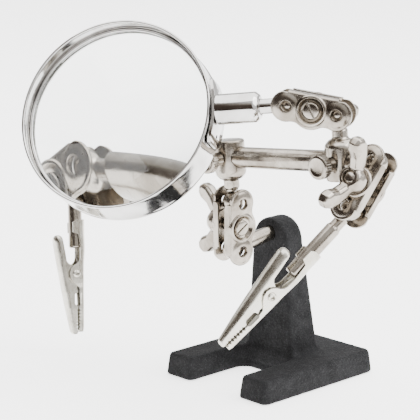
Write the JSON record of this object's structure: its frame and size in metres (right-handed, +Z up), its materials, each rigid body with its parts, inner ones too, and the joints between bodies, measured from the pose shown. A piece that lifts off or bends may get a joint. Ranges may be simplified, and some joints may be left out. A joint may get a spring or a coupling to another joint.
{
  "type": "helping hands clamp",
  "caption": "Bench stand with a U-shaped cast base, a crossbar on ball-joint clamps, a round magnifier and a spring clip at each end for holding small work.",
  "frame": {"origin": "on the flat underside of the base, straight below the middle of the post", "axes": "+Z up; the base's two arms point along -X and its bridge is at +X; the crossbar runs close to Y, with the end that carries the magnifier at -Y"},
  "size_m": [0.0909, 0.1283, 0.1099],
  "materials": {
    "black_casting": "rough cast, matt black paint",
    "nickel_plate": "bright nickel plate on steel, lightly worn",
    "polished_chrome": "polished chrome plate",
    "clip_nickel": "nickel-plated folded steel sheet",
    "spring_steel": "bare spring wire",
    "lens_glass": "clear ground glass"
  },
  "bodies": {
    "stand": {"base_casting": "black_casting", "post_pin": "nickel_plate"},
    "stand_knuckle": {"pin_ball": "nickel_plate"},
    "lower_clamp": {"lower_clamp_screw_plate": "nickel_plate", "lower_clamp_nut_plate": "nickel_plate", "lower_clamp_screw": "nickel_plate"},
    "lower_wing_nut": {"lower_clamp_wing_nut": "nickel_plate"},
    "holder_knuckle": {"holder_ball": "nickel_plate"},
    "bar_holder": {"bar_holder": "nickel_plate"},
    "holder_thumbscrew": {"holder_thumbscrew": "nickel_plate"},
    "crossbar": {"crossbar": "nickel_plate"},
    "lens_collar": {"lens_collar": "nickel_plate"},
    "collar_thumbscrew": {"collar_thumbscrew": "nickel_plate"},
    "collar_knuckle": {"collar_ball": "nickel_plate"},
    "lens_clamp": {"lens_clamp_screw_plate": "nickel_plate", "lens_clamp_nut_plate": "nickel_plate", "lens_clamp_screw": "nickel_plate"},
    "lens_wing_nut": {"lens_clamp_wing_nut": "nickel_plate"},
    "magnifier_knuckle": {"magnifier_ball": "nickel_plate"},
    "magnifier": {"lens_ring": "polished_chrome", "lens": "lens_glass", "lens_retainer": "polished_chrome", "ring_saddle": "polished_chrome", "ferrule": "polished_chrome", "magnifier_neck": "polished_chrome"},
    "right_bar_knuckle": {"right_bar_ball": "nickel_plate"},
    "right_clamp": {"right_clamp_screw_plate": "nickel_plate", "right_clamp_nut_plate": "nickel_plate", "right_clamp_screw": "nickel_plate"},
    "right_wing_nut": {"right_clamp_wing_nut": "nickel_plate"},
    "right_clip_knuckle": {"right_clip_ball": "nickel_plate"},
    "right_clip": {"right_clip_stem": "nickel_plate", "right_clip_body": "clip_nickel", "right_clip_pivot": "clip_nickel", "right_clip_spring": "spring_steel"},
    "right_clip_lever": {"right_clip_lever": "clip_nickel"},
    "left_bar_knuckle": {"left_bar_ball": "nickel_plate"},
    "left_clamp": {"left_clamp_screw_plate": "nickel_plate", "left_clamp_nut_plate": "nickel_plate", "left_clamp_screw": "nickel_plate"},
    "left_wing_nut": {"left_clamp_wing_nut": "nickel_plate"},
    "left_clip_knuckle": {"left_clip_ball": "nickel_plate"},
    "left_clip": {"left_clip_stem": "nickel_plate", "left_clip_body": "clip_nickel", "left_clip_pivot": "clip_nickel", "left_clip_spring": "spring_steel"},
    "left_clip_lever": {"left_clip_lever": "clip_nickel"}
  },
  "joints": [
    {"name": "stand_roll", "type": "hinge", "parent": "stand", "child": "stand_knuckle", "pos_m": [-0.0217, 0, 0.0421], "axis": [0.9901, 0, 0.1401], "range_deg": [-4, 10]},
    {"name": "lower_clamp_swing", "type": "hinge", "parent": "stand_knuckle", "child": "lower_clamp", "pos_m": [-0.0217, 0, 0.0421], "axis": [-0.1045, -0.9945, 0], "range_deg": [-10, 10]},
    {"name": "lower_wing_nut_turn", "type": "hinge", "parent": "lower_clamp", "child": "lower_wing_nut", "pos_m": [-0.0217, 0, 0.04925], "axis": [0.1045, 0.9945, 0], "continuous": true},
    {"name": "holder_swing", "type": "hinge", "parent": "lower_clamp", "child": "holder_knuckle", "pos_m": [-0.0217, 0, 0.0564], "axis": [-0.1045, -0.9945, 0], "range_deg": [-10, 10]},
    {"name": "holder_turn", "type": "hinge", "parent": "holder_knuckle", "child": "bar_holder", "pos_m": [-0.0217, 0, 0.0564], "axis": [-0.0069, 0.0991, 0.9951], "range_deg": [-15, 15]},
    {"name": "holder_thumbscrew_turn", "type": "hinge", "parent": "bar_holder", "child": "holder_thumbscrew", "pos_m": [-0.02179, 0.00133, 0.06973], "axis": [-0.9976, -0.0698, 0], "continuous": true},
    {"name": "crossbar_slide", "type": "slide", "parent": "bar_holder", "child": "crossbar", "axis": [-0.0694, 0.9926, -0.0993], "range_m": [-0.008, 0.008]},
    {"name": "collar_tilt", "type": "hinge", "parent": "crossbar", "child": "lens_collar", "pos_m": [-0.01889, -0.04016, 0.07389], "axis": [-0.0694, 0.9926, -0.0993], "range_deg": [-12, 12]},
    {"name": "collar_thumbscrew_turn", "type": "hinge", "parent": "lens_collar", "child": "collar_thumbscrew", "pos_m": [-0.01889, -0.04016, 0.07389], "axis": [-0.9976, -0.0698, 0], "continuous": true},
    {"name": "collar_turn", "type": "hinge", "parent": "lens_collar", "child": "collar_knuckle", "pos_m": [-0.01898, -0.03884, 0.08722], "axis": [-0.0069, 0.0991, 0.9951], "range_deg": [-6, 15]},
    {"name": "lens_clamp_swing", "type": "hinge", "parent": "collar_knuckle", "child": "lens_clamp", "pos_m": [-0.01898, -0.03884, 0.08722], "axis": [-0.8434, -0.5332, 0.067], "range_deg": [-12, 12]},
    {"name": "lens_wing_nut_turn", "type": "hinge", "parent": "lens_clamp", "child": "lens_wing_nut", "pos_m": [-0.02271, -0.03282, 0.08825], "axis": [0.8434, 0.5332, -0.067], "continuous": true},
    {"name": "magnifier_swing", "type": "hinge", "parent": "lens_clamp", "child": "magnifier_knuckle", "pos_m": [-0.02643, -0.0268, 0.08928], "axis": [-0.8434, -0.5332, 0.067], "range_deg": [-12, 12]},
    {"name": "magnifier_twist", "type": "hinge", "parent": "magnifier_knuckle", "child": "magnifier", "pos_m": [-0.02643, -0.0268, 0.08928], "axis": [0.5079, -0.8542, 0.1111], "range_deg": [-20, 20]},
    {"name": "right_clamp_turn", "type": "hinge", "parent": "crossbar", "child": "right_bar_knuckle", "pos_m": [-0.01804, -0.05227, 0.0751], "axis": [-0.0694, 0.9926, -0.0993], "range_deg": [-15, 15]},
    {"name": "right_clamp_swing", "type": "hinge", "parent": "right_bar_knuckle", "child": "right_clamp", "pos_m": [-0.01804, -0.05227, 0.0751], "axis": [0.8762, 0.1455, -0.4595], "range_deg": [-15, 2]},
    {"name": "right_wing_nut_turn", "type": "hinge", "parent": "right_clamp", "child": "right_wing_nut", "pos_m": [-0.02148, -0.05083, 0.069], "axis": [-0.8762, -0.1455, 0.4595], "range_deg": [-60, 60]},
    {"name": "right_clip_swing", "type": "hinge", "parent": "right_clamp", "child": "right_clip_knuckle", "pos_m": [-0.02492, -0.04939, 0.0629], "axis": [0.8762, 0.1455, -0.4595], "range_deg": [-15, 15]},
    {"name": "right_clip_twist", "type": "hinge", "parent": "right_clip_knuckle", "child": "right_clip", "pos_m": [-0.02492, -0.04939, 0.0629], "axis": [-0.641, 0.317, -0.699], "range_deg": [-30, 30]},
    {"name": "right_clip_open", "type": "hinge", "parent": "right_clip", "child": "right_clip_lever", "pos_m": [-0.04639, -0.03881, 0.04075], "axis": [0.4202, 0.9071, 0.0261], "range_deg": [0, 14], "stiffness_Nm_per_rad": 0.03, "springref_deg": -28.65, "deforming": ["right_clip_spring"]},
    {"name": "left_clamp_turn", "type": "hinge", "parent": "crossbar", "child": "left_bar_knuckle", "pos_m": [-0.02554, 0.05493, 0.06437], "axis": [-0.0694, 0.9926, -0.0993], "range_deg": [-15, 15]},
    {"name": "left_clamp_swing", "type": "hinge", "parent": "left_bar_knuckle", "child": "left_clamp", "pos_m": [-0.02554, 0.05493, 0.06437], "axis": [-0.9838, -0.0516, 0.1717], "range_deg": [-12, 12]},
    {"name": "left_wing_nut_turn", "type": "hinge", "parent": "left_clamp", "child": "left_wing_nut", "pos_m": [-0.02656, 0.06071, 0.0603], "axis": [0.9838, 0.0516, -0.1717], "continuous": true},
    {"name": "left_clip_swing", "type": "hinge", "parent": "left_clamp", "child": "left_clip_knuckle", "pos_m": [-0.02757, 0.06649, 0.05622], "axis": [-0.9838, -0.0516, 0.1717], "range_deg": [-15, 15]},
    {"name": "left_clip_twist", "type": "hinge", "parent": "left_clip_knuckle", "child": "left_clip", "pos_m": [-0.02757, 0.06649, 0.05622], "axis": [-0.179, -0.232, -0.9561], "range_deg": [-30, 30]},
    {"name": "left_clip_open", "type": "hinge", "parent": "left_clip", "child": "left_clip_lever", "pos_m": [-0.03424, 0.05924, 0.02513], "axis": [0.3166, 0.9065, -0.2793], "range_deg": [0, 14], "stiffness_Nm_per_rad": 0.03, "springref_deg": -28.65, "deforming": ["left_clip_spring"]}
  ]
}
